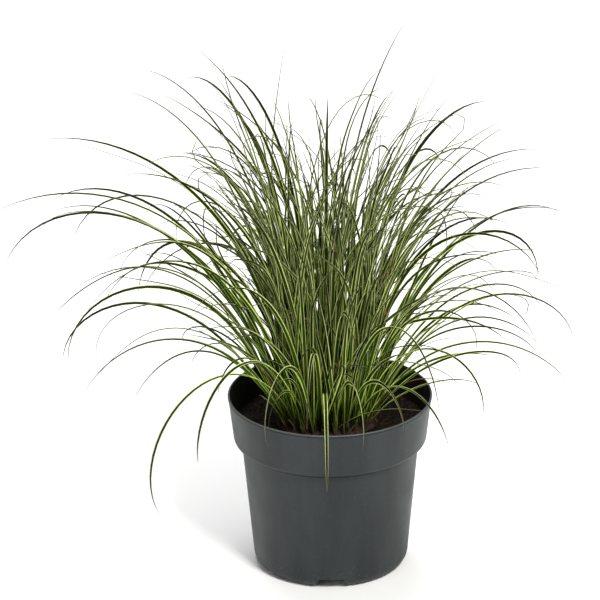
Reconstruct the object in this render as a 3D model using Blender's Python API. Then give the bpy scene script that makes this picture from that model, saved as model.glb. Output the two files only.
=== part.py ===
"""Potted ornamental grass clump: a plastic nursery pot, the potting mix in it, the woody crown of
the plant and the 57 shoots that grow from the crown. Metres, +Z up, front towards -Y. The origin
is on the pot's axis, in the plane that the pot stands on. Lengths below are in millimetres."""

import math
import random

import bmesh
import bpy
from mathutils import Vector

MM = 0.001
FIT_GAP = 0.3  # between pieces that touch

# How finely round pieces are turned, and the angle from which an edge is shaded sharp.
ROUND_STEPS = 64
CORNER_STEPS = 5
INNER_CORNER_STEPS = 3
DRAIN_STEPS = 16
POT_SHARP_ANGLE = 40.0
SHOOT_SHARP_ANGLE = 75.0

# How far a cutter runs past what it cuts.
CUT_PAST = 5.0

# Pot: a tapered wall, a wide collar over it, and a thin lip round the mouth.
POT_HEIGHT = 167.5
LIP_RADIUS = 95.0
LIP_DEPTH = 2.2
LIP_EDGE = 0.6
COLLAR_TOP_RADIUS = 94.4
COLLAR_FOOT_RADIUS = 90.0
COLLAR_DEPTH = 42.5
COLLAR_EDGE = 3.5
LEDGE_RADIUS = 82.4
WALL_FOOT_RADIUS = 72.3
CORNER_RADIUS = 11.0
INNER_CORNER_RADIUS = 9.0
WALL = 1.6

# Drainage: channels run out under the wall, each with one round hole in its roof.
CHANNELS = 4
FIRST_CHANNEL = -90.0
CHANNEL_START = 36.0
CHANNEL_HEIGHT = 10.0
CHANNEL_FOOT_WIDTH = 33.0
CHANNEL_TOP_WIDTH = 22.5
DRAIN_RADIUS = 4.5
DRAIN_CENTRE = 50.0

# Potting mix, which falls a little towards the wall, and the crown on it.
MIX_LEVEL = 141.0
MIX_FLAT_RADIUS = 55.0
MIX_SHOULDER_RADIUS = 76.0
MIX_SHOULDER_DROP = 1.2
MIX_EDGE_DROP = 2.5
CROWN_TOP = 145.0
CROWN_RADIUS = 47.0
CROWN_EDGE = (2.0, 1.5)
CROWN_FLARE = 0.5
CLUMP_CENTRE = (-3.0, 4.0)

# Shoots: they stand on rings round the middle of the crown.
# Each ring is (number of shoots, ring radius, bearing of its first shoot).
RINGS = ((3, 8.0, 30.0), (9, 20.0, 0.0), (18, 32.0, 0.0), (27, 43.0, 0.0))
SHOOT_BASE_RADIUS = 2.7
SHOOT_TIP_RADIUS = 0.5
SHOOT_TAPER = 1.3
SHOOT_SIDES = 5
SHOOT_SPANS = 9
SUMS_PER_SPAN = 8

# How the shoots of each ring grow, the middle ring first: the lean from upright at the foot and the
# bend from there to the tip, both in degrees, the length, and the droop, which keeps more of the
# bend for the outer part the larger it is. Each is (middle value, how far it varies either way).
RING_HABITS = (
    ((5.0, 3.0), (45.0, 20.0), (365.0, 12.0), (3.5, 1.0)),
    ((12.0, 6.0), (70.0, 35.0), (340.0, 20.0), (3.0, 0.8)),
    ((16.0, 7.0), (112.0, 38.0), (340.0, 40.0), (2.3, 0.6)),
    ((24.0, 9.0), (128.0, 42.0), (300.0, 50.0), (1.9, 0.5)),
)
HEADING_SWINGS = (25.0, 12.0, 7.0, 4.0)
TALLEST_LEAN = 2.0
TALLEST_BEND = 30.0
TALLEST_LENGTH = 386.0
LEFT_REACH = 0.13
FRONT_SHORTER = 0.30
FRONT_HANG = 50.0
GROWTH_SEED = 4


def clear_scene():
    for obj in list(bpy.data.objects):
        bpy.data.objects.remove(obj, do_unlink=True)


def material(name, colour, roughness):
    made = bpy.data.materials.new(name)
    made.use_nodes = True
    shader = made.node_tree.nodes["Principled BSDF"]
    shader.inputs["Base Color"].default_value = (*colour, 1.0)
    shader.inputs["Roughness"].default_value = roughness
    shader.inputs["Metallic"].default_value = 0.0
    return made


def add_object(name, shape, finish=None):
    """Turns a bmesh in millimetres into an object in metres and empties the bmesh."""
    bmesh.ops.recalc_face_normals(shape, faces=shape.faces)
    bmesh.ops.scale(shape, vec=(MM, MM, MM), verts=shape.verts)
    mesh = bpy.data.meshes.new(name)
    shape.to_mesh(mesh)
    shape.free()
    obj = bpy.data.objects.new(name, mesh)
    bpy.context.scene.collection.objects.link(obj)
    if finish:
        mesh.materials.append(finish)
    return obj


def shade_round(obj, sharp_angle=POT_SHARP_ANGLE):
    obj.data.shade_smooth()
    obj.data.set_sharp_from_angle(angle=math.radians(sharp_angle))


def hide_helper(obj):
    """A cutter shapes other objects and is no part of the plant."""
    obj.hide_render = True
    obj.display_type = "WIRE"


def cut(obj, cutter):
    """The object minus the cutter."""
    made = obj.modifiers.new("Cut " + cutter.name, "BOOLEAN")
    made.operation = "DIFFERENCE"
    made.solver = "EXACT"
    made.object = cutter


def turned(name, profile, finish=None, centre=(0.0, 0.0)):
    """A solid turned about a vertical axis, from a profile of (radius, height) points."""
    shape = bmesh.new()
    corners = [shape.verts.new((radius, 0.0, height)) for radius, height in profile]
    edges = [shape.edges.new(pair) for pair in zip(corners, corners[1:])]
    bmesh.ops.spin(
        shape, geom=corners + edges, cent=(0, 0, 0), axis=(0, 0, 1),
        angle=2 * math.pi, steps=ROUND_STEPS, use_merge=True,
    )
    bmesh.ops.remove_doubles(shape, verts=shape.verts, dist=0.001)
    bmesh.ops.translate(shape, vec=(*centre, 0.0), verts=shape.verts)
    return add_object(name, shape, finish)


def corner_arc(centre_radius, centre_height, radius, steps):
    """Points from the wall down round the foot's corner to the underside."""
    turns = [math.radians(90.0 * step / steps) for step in range(1, steps + 1)]
    return [
        (centre_radius + radius * math.cos(turn), centre_height - radius * math.sin(turn))
        for turn in turns
    ]


def pot_outline():
    """The outside of the pot from the middle of its mouth out, down and in to its foot."""
    lip_foot = POT_HEIGHT - LIP_DEPTH
    collar_foot = POT_HEIGHT - COLLAR_DEPTH
    foot_centre = WALL_FOOT_RADIUS - CORNER_RADIUS
    return [
        (0.0, POT_HEIGHT),
        (LIP_RADIUS - LIP_EDGE, POT_HEIGHT),
        (LIP_RADIUS, POT_HEIGHT - LIP_EDGE),
        (LIP_RADIUS, lip_foot + LIP_EDGE),
        (COLLAR_TOP_RADIUS, lip_foot),
        (COLLAR_FOOT_RADIUS, collar_foot),
        (COLLAR_FOOT_RADIUS - COLLAR_EDGE, collar_foot - COLLAR_EDGE),
        (LEDGE_RADIUS, collar_foot - COLLAR_EDGE),
        (WALL_FOOT_RADIUS, CORNER_RADIUS),
        *corner_arc(foot_centre, CORNER_RADIUS, CORNER_RADIUS, CORNER_STEPS),
        (0.0, 0.0),
    ]


def cavity_outline(inset, top):
    """The inside of the pot, drawn in by inset from the outside, from the height top down."""
    foot_radius = WALL_FOOT_RADIUS - inset
    collar_foot = POT_HEIGHT - COLLAR_DEPTH
    slope = (COLLAR_TOP_RADIUS - COLLAR_FOOT_RADIUS) / (COLLAR_DEPTH - LIP_DEPTH)
    corner_centre = foot_radius - INNER_CORNER_RADIUS
    return [
        (0.0, top),
        (COLLAR_FOOT_RADIUS - inset + slope * (top - collar_foot), top),
        (COLLAR_FOOT_RADIUS - inset, collar_foot + inset),
        (LEDGE_RADIUS - inset, collar_foot + inset),
        (foot_radius, CORNER_RADIUS + inset - WALL),
        *corner_arc(
            corner_centre, inset + INNER_CORNER_RADIUS, INNER_CORNER_RADIUS, INNER_CORNER_STEPS
        ),
        (0.0, inset),
    ]


def channel_bearings():
    return [math.radians(FIRST_CHANNEL + 360.0 * index / CHANNELS) for index in range(CHANNELS)]


def channels(name, grow):
    """The drainage channels as wedges with sloping sides, grown by grow on every side."""
    shape = bmesh.new()
    start = CHANNEL_START - grow
    end = LIP_RADIUS
    low = -CUT_PAST
    high = CHANNEL_HEIGHT + grow
    slope = (CHANNEL_FOOT_WIDTH - CHANNEL_TOP_WIDTH) / (2 * CHANNEL_HEIGHT)
    half_high = CHANNEL_TOP_WIDTH / 2 + grow * (math.hypot(1, slope) - slope)
    half_low = half_high + slope * (high - low)
    section = ((-half_low, low), (half_low, low), (half_high, high), (-half_high, high))
    for bearing in channel_bearings():
        outwards = Vector((math.cos(bearing), math.sin(bearing), 0.0))
        across = Vector((-outwards.y, outwards.x, 0.0))
        ends = [
            [
                shape.verts.new(outwards * reach + across * side + Vector((0, 0, height)))
                for side, height in section
            ]
            for reach in (start, end)
        ]
        shape.faces.new(ends[0])
        shape.faces.new(ends[1])
        for corner in range(len(section)):
            after = (corner + 1) % len(section)
            shape.faces.new(
                (ends[0][corner], ends[0][after], ends[1][after], ends[1][corner])
            )
    helper = add_object(name, shape)
    hide_helper(helper)
    return helper


def drain_holes():
    shape = bmesh.new()
    for bearing in channel_bearings():
        made = bmesh.ops.create_cone(
            shape, cap_ends=True, segments=DRAIN_STEPS, radius1=DRAIN_RADIUS,
            radius2=DRAIN_RADIUS, depth=2.0 * (CHANNEL_HEIGHT + WALL + CUT_PAST),
        )
        place = (DRAIN_CENTRE * math.cos(bearing), DRAIN_CENTRE * math.sin(bearing), 0.0)
        bmesh.ops.translate(shape, vec=place, verts=made["verts"])
    helper = add_object("drain_cutter", shape)
    hide_helper(helper)
    return helper


def build_pot():
    finish = material("Dark grey plastic", (0.058, 0.066, 0.065), 0.45)
    pot = turned("nursery_pot", pot_outline(), finish)
    cavity = turned("cavity_cutter", cavity_outline(WALL, POT_HEIGHT + CUT_PAST))
    hide_helper(cavity)
    cut(cavity, channels("raised_floor_cutter", WALL))
    cut(pot, channels("channel_cutter", 0.0))
    cut(pot, cavity)
    cut(pot, drain_holes())
    shade_round(pot)


def build_mix():
    finish = material("Potting mix", (0.022, 0.015, 0.011), 0.95)
    inset = WALL + FIT_GAP
    edge_level = MIX_LEVEL - MIX_EDGE_DROP
    outline = cavity_outline(inset, edge_level)
    dome = [
        (0.0, MIX_LEVEL),
        (MIX_FLAT_RADIUS, MIX_LEVEL),
        (MIX_SHOULDER_RADIUS, MIX_LEVEL - MIX_SHOULDER_DROP),
    ]
    mix = turned("potting_mix", dome + outline[1:], finish)
    cut(mix, channels("mix_channel_cutter", inset))
    shade_round(mix)


def build_crown():
    finish = material("Red-brown leaf sheaths", (0.14, 0.052, 0.022), 0.8)
    foot = MIX_LEVEL + FIT_GAP
    edge_in, edge_down = CROWN_EDGE
    outline = [
        (0.0, CROWN_TOP),
        (CROWN_RADIUS - edge_in, CROWN_TOP),
        (CROWN_RADIUS, CROWN_TOP - edge_down),
        (CROWN_RADIUS + CROWN_FLARE, foot),
        (0.0, foot),
    ]
    crown = turned("crown", outline, finish, CLUMP_CENTRE)
    shade_round(crown)


def shoot_bases():
    """The foot of each shoot on the crown, ring by ring from the middle."""
    feet = []
    for count, radius, first in RINGS:
        for index in range(count):
            bearing = math.radians(first + 360.0 * index / count)
            feet.append(Vector((
                CLUMP_CENTRE[0] + radius * math.cos(bearing),
                CLUMP_CENTRE[1] + radius * math.sin(bearing),
                CROWN_TOP + FIT_GAP,
            )))
    return feet


def shoot_habits():
    """Heading, lean, bend, length and droop of each shoot, ring by ring from the middle. Heading is
    0 for +X and 90 for +Y. The shoots fan out from the middle, the outer rings lower. In the outer
    rings they reach further to the left, and at the front they are shorter and hang more."""
    growth = random.Random(GROWTH_SEED)
    habits = []
    for ring, ((count, _, first), swing) in enumerate(zip(RINGS, HEADING_SWINGS)):
        outer = ring / (len(RINGS) - 1)
        for index in range(count):
            heading = first + 360.0 * index / count + growth.uniform(-swing, swing)
            lean, bend, length, droop = (
                middle + growth.uniform(-vary, vary) for middle, vary in RING_HABITS[ring]
            )
            left = -math.cos(math.radians(heading))
            ahead = max(0.0, -math.sin(math.radians(heading))) ** 2
            length *= 1.0 + outer * (LEFT_REACH * left - FRONT_SHORTER * ahead)
            bend += outer * FRONT_HANG * ahead
            habits.append((heading, lean, bend, length, droop))
    habits[0] = (habits[0][0], TALLEST_LEAN, TALLEST_BEND, TALLEST_LENGTH, habits[0][4])
    return habits


def shoot_arc(foot, heading, lean, bend, length, droop):
    """Points and directions along a shoot. A share s of the way up, it has turned from upright
    by lean + bend * s ** droop degrees, in the vertical plane of its heading."""
    outwards = Vector((math.cos(math.radians(heading)), math.sin(math.radians(heading)), 0.0))
    upwards = Vector((0.0, 0.0, 1.0))
    sums = SHOOT_SPANS * SUMS_PER_SPAN
    step = length / sums
    place = foot.copy()
    stations = []
    for index in range(sums + 1):
        share = index / sums
        turn = math.radians(lean + bend * share ** droop)
        direction = outwards * math.sin(turn) + upwards * math.cos(turn)
        if index:
            place = place + (direction + previous) * (step / 2)
        previous = direction
        if index % SUMS_PER_SPAN == 0:
            stations.append((share, place.copy(), direction))
    return outwards, stations


def build_shoot(name, foot, habit, finish):
    """A closed five-sided horn along the shoot's arc, cut level at its foot."""
    outwards, stations = shoot_arc(foot, *habit)
    side = Vector((-outwards.y, outwards.x, 0.0))
    shape = bmesh.new()
    loops = []
    for share, place, direction in stations:
        radius = SHOOT_TIP_RADIUS
        radius += (SHOOT_BASE_RADIUS - SHOOT_TIP_RADIUS) * (1.0 - share) ** SHOOT_TAPER
        over = outwards if share == 0.0 else side.cross(direction).normalized()
        loop = []
        for corner in range(SHOOT_SIDES):
            angle = 2 * math.pi * corner / SHOOT_SIDES
            arm = side * math.cos(angle) + over * math.sin(angle)
            loop.append(shape.verts.new(place + arm * radius))
        loops.append(loop)
    for low, high in zip(loops, loops[1:]):
        for corner in range(SHOOT_SIDES):
            after = (corner + 1) % SHOOT_SIDES
            shape.faces.new((low[corner], low[after], high[after], high[corner]))
    shape.faces.new(loops[0])
    shape.faces.new(loops[-1])
    shoot = add_object(name, shape, finish)
    shade_round(shoot, SHOOT_SHARP_ANGLE)


def build_shoots():
    finish = material("Green leaf", (0.105, 0.19, 0.03), 0.5)
    for index, (foot, habit) in enumerate(zip(shoot_bases(), shoot_habits()), start=1):
        build_shoot(f"shoot_{index:02d}", foot, habit, finish)


def main():
    clear_scene()
    build_pot()
    build_mix()
    build_crown()
    build_shoots()


main()
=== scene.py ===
"""Looks of the potted grass clump: a moulded pot, crumbly potting mix, the sheathed crown and the leaves
of 57 tufts. Lengths in the tables are in millimetres and angles in degrees; meshes are in metres, in the
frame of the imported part, +Z up and front towards -Y."""

import math
import random

import bmesh
import bpy
import numpy as np
from mathutils import Euler, Matrix


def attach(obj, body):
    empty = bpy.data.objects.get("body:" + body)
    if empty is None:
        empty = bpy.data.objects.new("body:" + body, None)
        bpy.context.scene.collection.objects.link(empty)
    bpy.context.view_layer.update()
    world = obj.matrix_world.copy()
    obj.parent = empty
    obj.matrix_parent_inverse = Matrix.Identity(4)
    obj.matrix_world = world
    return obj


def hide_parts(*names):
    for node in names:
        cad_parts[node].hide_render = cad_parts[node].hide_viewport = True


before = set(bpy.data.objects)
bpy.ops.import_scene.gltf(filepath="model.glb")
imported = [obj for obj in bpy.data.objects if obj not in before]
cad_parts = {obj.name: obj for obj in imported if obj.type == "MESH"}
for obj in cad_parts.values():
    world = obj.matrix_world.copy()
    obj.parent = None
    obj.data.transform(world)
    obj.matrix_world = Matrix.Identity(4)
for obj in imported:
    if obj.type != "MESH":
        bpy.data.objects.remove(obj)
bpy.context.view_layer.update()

MM = 0.001

# Pot, as in the part.
POT_HEIGHT = 167.5
LIP_RADIUS = 95.0
LIP_DEPTH = 2.2
COLLAR_TOP_RADIUS = 94.4
COLLAR_FOOT_RADIUS = 90.0
COLLAR_DEPTH = 42.5
COLLAR_EDGE = 3.5
COLLAR_ROUND = 6.0
LEDGE_RADIUS = 82.4
WALL_FOOT_RADIUS = 72.3
CORNER_RADIUS = 11.0
WALL = 1.6
CHANNELS = 4
FIRST_CHANNEL = -90.0
CHANNEL_START = 36.0
CHANNEL_HEIGHT = 10.0
CHANNEL_FOOT_WIDTH = 33.0
CHANNEL_TOP_WIDTH = 22.5
DRAIN_RADIUS = 4.5
DRAIN_CENTRE = 50.0
FLOOR_TOP = CHANNEL_HEIGHT + WALL
TURN_STEPS = 192

# Potting mix and crown, as in the part.
MIX_LEVEL = 141.0
MIX_EDGE_DROP = 2.5
CROWN_TOP = 145.0
CROWN_RADIUS = 47.0
CLUMP_CENTRE = (-3.0, 4.0)
RINGS = ((3, 8.0, 30.0), (9, 20.0, 0.0), (18, 32.0, 0.0), (27, 43.0, 0.0))

# How each ring's shoots grow, as in the part, the middle ring first: the lean from upright at the foot
# and the bend from there to the tip, the length, and the droop, which keeps more of the bend for the
# outer part the larger it is. Each is (middle value, how far it varies either way).
RING_HABITS = (
    ((5.0, 3.0), (45.0, 20.0), (365.0, 12.0), (3.5, 1.0)),
    ((12.0, 6.0), (70.0, 35.0), (340.0, 20.0), (3.0, 0.8)),
    ((16.0, 7.0), (112.0, 38.0), (340.0, 40.0), (2.3, 0.6)),
    ((24.0, 9.0), (128.0, 42.0), (300.0, 50.0), (1.9, 0.5)),
)
HEADING_SWINGS = (25.0, 12.0, 7.0, 4.0)
TALLEST_LEAN = 2.0
TALLEST_BEND = 30.0
TALLEST_LENGTH = 386.0
LEFT_REACH = 0.13
FRONT_SHORTER = 0.30
FRONT_HANG = 50.0
GROWTH_SEED = 4

# From this bend on, a tuft's longest leaf at the front stays broad almost to its end, and hangs over the
# lip. The front starts where the sine of the heading falls below FRONT_SINE.
HANGING_BEND = 150.0
FRONT_SINE = -0.7

# Loose leaves that cross the front of the clump: (foot x, foot y, heading, lean, bend, length, droop,
# width, depth of green).
LOOSE_LEAVES = (
    (8, -24, 188, 4, 165, 160, 3.4, 3.2, -0.8), (-34, -32, 352, 4, 130, 215, 0.8, 3.4, -0.6),
    (4, -36, 352, 44, 56, 90, 0.9, 2.8, -0.4), (-42, -26, 205, 24, 30, 46, 2, 2.2, -0.9),
    (-34, -20, 186, 14, 80, 150, 1.4, 3.6, -0.7), (24, -18, 186, 6, 98, 205, 2.4, 3.4, -0.6),
    (-12, -24, 8, 10, 172, 172, 2.0, 3.0, -0.9), (-26, -12, 205, 10, 112, 210, 2.2, 3.2, 0.3),
    (0, -26, 200, 8, 125, 190, 3.0, 3.4, -0.5), (-10, -32, 355, 8, 118, 240, 1.2, 3.8, 0.2),
    (30, -26, 20, 30, 85, 150, 1.2, 3.4, -0.4), (36, -20, 352, 34, 60, 120, 1.0, 3.0, 0.4),
)
LOOSE_FULLNESS = 3.2

# Leaves: how each is cut into stations, and its folded section.
FEWEST_LEAVES = 6
MOST_LEAVES = 9
LEAF_STATIONS = 30
LEAF_SUNK = 4.0
LEAF_FOLD = 0.26
LEAF_THICKNESS = 0.34
LEAF_TIP_WIDTH = 1.3
LEAF_TIP_TAPER = 0.65
LEAF_TIP_START = 14
LEAF_FOOT_SHARE = 0.45
LEAF_SPREAD_BY = 0.2
LEAF_THINNING = 0.78
TUFT_SPREAD = 2.2
STRAYS_PER_TUFT = 3
INNER_TUFTS = 12
RANDOM_SEED = 4107


# ---------------------------------------------------------------------------------------------------
# Meshes
# ---------------------------------------------------------------------------------------------------


def add_mesh(name, points, faces, finish, sharp_angle=None):
    """A mesh object at the origin, from points in millimetres. Shaded smooth up to sharp_angle."""
    mesh = bpy.data.meshes.new(name)
    mesh.from_pydata(np.asarray(points) * MM, [], faces)
    mesh.materials.append(finish)
    if sharp_angle is not None:
        mesh.shade_smooth()
        mesh.set_sharp_from_angle(angle=math.radians(sharp_angle))
    obj = bpy.data.objects.new(name, mesh)
    bpy.context.scene.collection.objects.link(obj)
    return obj


def store(obj, name, values):
    """Keeps a vector for each point of the mesh, for its material to read."""
    made = obj.data.attributes.new(name, "FLOAT_VECTOR", "POINT")
    made.data.foreach_set("vector", np.asarray(values, np.float32).ravel())


def face_outwards(obj):
    """Turns every face of a closed piece over where its points were laid the other way round."""
    shape = bmesh.new()
    shape.from_mesh(obj.data)
    bmesh.ops.recalc_face_normals(shape, faces=shape.faces)
    shape.to_mesh(obj.data)
    shape.free()


def finish_piece(obj, node=None):
    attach(obj, "root")
    if node:
        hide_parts(node)


def tube_faces(tubes, stations, corners):
    """Quads round every tube, whose points run round each station in turn, and its two end caps."""
    ring = np.arange(corners)
    after = (ring + 1) % corners
    low = corners * np.arange(stations - 1)[:, None]
    quads = np.stack([low + ring, low + after, low + after + corners, low + ring + corners], -1)
    first = stations * corners * np.arange(tubes)[:, None]
    sides = (first[:, :, None] + quads.reshape(1, -1, 4)).reshape(-1, 4)
    foot_caps = first + ring[::-1]
    top_caps = first + corners * (stations - 1) + ring
    return [*sides.tolist(), *foot_caps.tolist(), *top_caps.tolist()]


def turned_faces(rows, steps):
    """Quads between rows of a surface of revolution and one face at each end of its profile."""
    ring = np.arange(steps)
    after = (ring + 1) % steps
    low = steps * np.arange(rows - 1)[:, None]
    quads = np.stack([low + ring, low + ring + steps, low + after + steps, low + after], -1)
    first_cap = ring
    last_cap = steps * (rows - 1) + ring[::-1]
    return [*quads.reshape(-1, 4).tolist(), first_cap.tolist(), last_cap.tolist()]


def turn_profile(profile, steps):
    """Each (radius, height) point of the profile carried round the vertical axis."""
    radius, height = np.array(profile, float).T
    bearing = 2 * np.pi * np.arange(steps) / steps
    return np.stack(
        np.broadcast_arrays(
            radius[:, None] * np.cos(bearing), radius[:, None] * np.sin(bearing), height[:, None]
        ),
        -1,
    ).reshape(-1, 3)


def waves(x, y, size, rng, layers=4, directions=7):
    """Lumpy height, about -1 to 1: sums of sine waves in random directions. Each layer is twice as
    fine as the last and 0.6 of its height."""
    total = np.zeros(np.broadcast(x, y).shape)
    strength = 0.0
    for layer in range(layers):
        share = 0.6 ** layer
        angle = rng.uniform(0, 2 * np.pi, directions)
        start = rng.uniform(0, 2 * np.pi, directions)
        pitch = 2 * np.pi * 2 ** layer / size * rng.uniform(0.8, 1.25, directions)
        along = x[..., None] * np.cos(angle) + y[..., None] * np.sin(angle)
        total = total + share * np.sin(pitch * along + start).sum(-1) / directions ** 0.5
        strength += share
    return total / strength


# ---------------------------------------------------------------------------------------------------
# Materials
# ---------------------------------------------------------------------------------------------------


class Nodes:
    """Short calls for the nodes of one material or node group."""

    def __init__(self, tree):
        self.tree = tree

    def add(self, kind, **settings):
        node = self.tree.nodes.new(kind)
        for name, value in settings.items():
            setattr(node, name, value)
        return node

    def put(self, socket, value):
        if isinstance(value, bpy.types.NodeSocket):
            self.tree.links.new(value, socket)
        else:
            socket.default_value = value

    def math(self, operation, *values, clamp=False):
        node = self.add("ShaderNodeMath", operation=operation, use_clamp=clamp)
        for socket, value in zip(node.inputs, values):
            self.put(socket, value)
        return node.outputs[0]

    def step(self, value, low, high, start=0.0, end=1.0):
        """Smooth step of value from low to high, giving start to end."""
        node = self.add("ShaderNodeMapRange", interpolation_type="SMOOTHSTEP")
        for name, given in (
            ("Value", value), ("From Min", low), ("From Max", high), ("To Min", start), ("To Max", end)
        ):
            self.put(node.inputs[name], given)
        return node.outputs[0]

    def mix(self, share, first, second, blend="MIX"):
        node = self.add("ShaderNodeMix", data_type="RGBA", blend_type=blend)
        self.put(node.inputs[0], share)
        self.put(node.inputs[6], first)
        self.put(node.inputs[7], second)
        return node.outputs[2]

    def noise(self, vector, scale, detail=3.0, roughness=0.5):
        node = self.add("ShaderNodeTexNoise")
        self.put(node.inputs["Vector"], vector)
        self.put(node.inputs["Scale"], scale)
        self.put(node.inputs["Detail"], detail)
        self.put(node.inputs["Roughness"], roughness)
        return node.outputs["Fac"]

    def cells(self, vector, scale):
        """(distance to the nearest cell's middle, that cell's own colour)"""
        node = self.add("ShaderNodeTexVoronoi")
        self.put(node.inputs["Vector"], vector)
        self.put(node.inputs["Scale"], scale)
        return node.outputs["Distance"], node.outputs["Color"]

    def scaled(self, vector, scale):
        node = self.add("ShaderNodeMapping", vector_type="POINT")
        self.put(node.inputs["Vector"], vector)
        node.inputs["Scale"].default_value = scale
        return node.outputs[0]

    def parts(self, vector):
        node = self.add("ShaderNodeSeparateXYZ")
        self.put(node.inputs[0], vector)
        return node.outputs

    def place(self):
        return self.add("ShaderNodeTexCoord").outputs["Object"]

    def stored(self, name):
        return self.add("ShaderNodeAttribute", attribute_name=name).outputs["Vector"]

    def ramp(self, value, stops):
        node = self.add("ShaderNodeValToRGB")
        elements = node.color_ramp.elements
        for element, (position, colour) in zip(elements, stops):
            element.position = position
            element.color = (*colour, 1.0)
        for position, colour in stops[len(elements):]:
            elements.new(position).color = (*colour, 1.0)
        self.put(node.inputs[0], value)
        return node.outputs["Color"]

    def bump(self, height, strength, distance):
        node = self.add("ShaderNodeBump")
        self.put(node.inputs["Height"], height)
        node.inputs["Strength"].default_value = strength
        node.inputs["Distance"].default_value = distance
        return node.outputs["Normal"]

    def group(self, tree, **values):
        node = self.add("ShaderNodeGroup", node_tree=tree)
        for name, value in values.items():
            self.put(node.inputs[name.replace("_", " ")], value)
        return node.outputs


def new_group(name, inputs, outputs):
    """An empty node group. Inputs are {name: (type, default)} and outputs {name: type}."""
    tree = bpy.data.node_groups.new(name, "ShaderNodeTree")
    for label, (kind, default) in inputs.items():
        made = tree.interface.new_socket(label, in_out="INPUT", socket_type=kind)
        if default is not None:
            made.default_value = default
    for label, kind in outputs.items():
        tree.interface.new_socket(label, in_out="OUTPUT", socket_type=kind)
    nodes = Nodes(tree)
    return tree, nodes, nodes.add("NodeGroupInput").outputs, nodes.add("NodeGroupOutput").inputs


def new_material(name):
    """(material, its nodes, its Principled BSDF)"""
    made = bpy.data.materials.new(name)
    made.use_nodes = True
    return made, Nodes(made.node_tree), made.node_tree.nodes["Principled BSDF"]


def moulded_grain_group():
    """Fine eggshell grain of moulded plastic, and the broad dull patches that handling leaves on it."""
    tree, nodes, given, result = new_group(
        "Moulded grain",
        {"Vector": ("NodeSocketVector", None), "Grain size": ("NodeSocketFloat", 900.0)},
        {"Height": "NodeSocketFloat", "Wear": "NodeSocketFloat"},
    )
    grain = nodes.noise(given["Vector"], given["Grain size"], 2.0)
    patches = nodes.noise(given["Vector"], 22.0, 4.0, 0.6)
    nodes.put(result["Height"], grain)
    nodes.put(result["Wear"], nodes.step(patches, 0.38, 0.68))
    return tree


def leaf_stripes_group():
    """Marks that run along a leaf, from its place across (0 and 1 at the margins) and along: the pale
    margins, whose width wanders, and the fine veins between them."""
    tree, nodes, given, result = new_group(
        "Leaf stripes",
        {
            "Across": ("NodeSocketFloat", 0.5),
            "Along": ("NodeSocketFloat", 0.5),
            "Odds": ("NodeSocketFloat", 0.5),
            "Margin width": ("NodeSocketFloat", 0.2),
            "Veins": ("NodeSocketFloat", 13.0),
        },
        {"Margin": "NodeSocketFloat", "Vein": "NodeSocketFloat", "Streak": "NodeSocketFloat"},
    )
    combine = nodes.add("ShaderNodeCombineXYZ")
    nodes.put(combine.inputs[0], nodes.math("MULTIPLY", given["Across"], 3.0))
    nodes.put(combine.inputs[1], nodes.math("MULTIPLY", given["Along"], 5.0))
    nodes.put(combine.inputs[2], nodes.math("MULTIPLY", given["Odds"], 57.0))
    wander = nodes.noise(combine.outputs[0], 1.0, 3.0)
    from_middle = nodes.math("ABSOLUTE", nodes.math("SUBTRACT", given["Across"], 0.5))
    from_margin = nodes.math("SUBTRACT", 0.5, from_middle)
    shift = nodes.math("MULTIPLY", nodes.math("SUBTRACT", wander, 0.5), 0.14)
    edge = nodes.math("ADD", given["Margin width"], shift)
    inner_edge = nodes.math("ADD", edge, 0.04)
    nodes.put(result["Margin"], nodes.step(from_margin, edge, inner_edge, 1.0, 0.0))
    turns = nodes.math("MULTIPLY", nodes.math("MULTIPLY", given["Across"], given["Veins"]), 2 * math.pi)
    nodes.put(
        result["Vein"], nodes.math("MULTIPLY_ADD", nodes.math("COSINE", turns), 0.5, 0.5)
    )
    streak_place = nodes.add("ShaderNodeCombineXYZ")
    nodes.put(streak_place.inputs[0], nodes.math("MULTIPLY", given["Across"], 9.0))
    nodes.put(streak_place.inputs[1], nodes.math("MULTIPLY", given["Along"], 1.5))
    nodes.put(streak_place.inputs[2], nodes.math("MULTIPLY", given["Odds"], 31.0))
    nodes.put(result["Streak"], nodes.noise(streak_place.outputs[0], 1.0, 2.0))
    return tree


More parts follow.
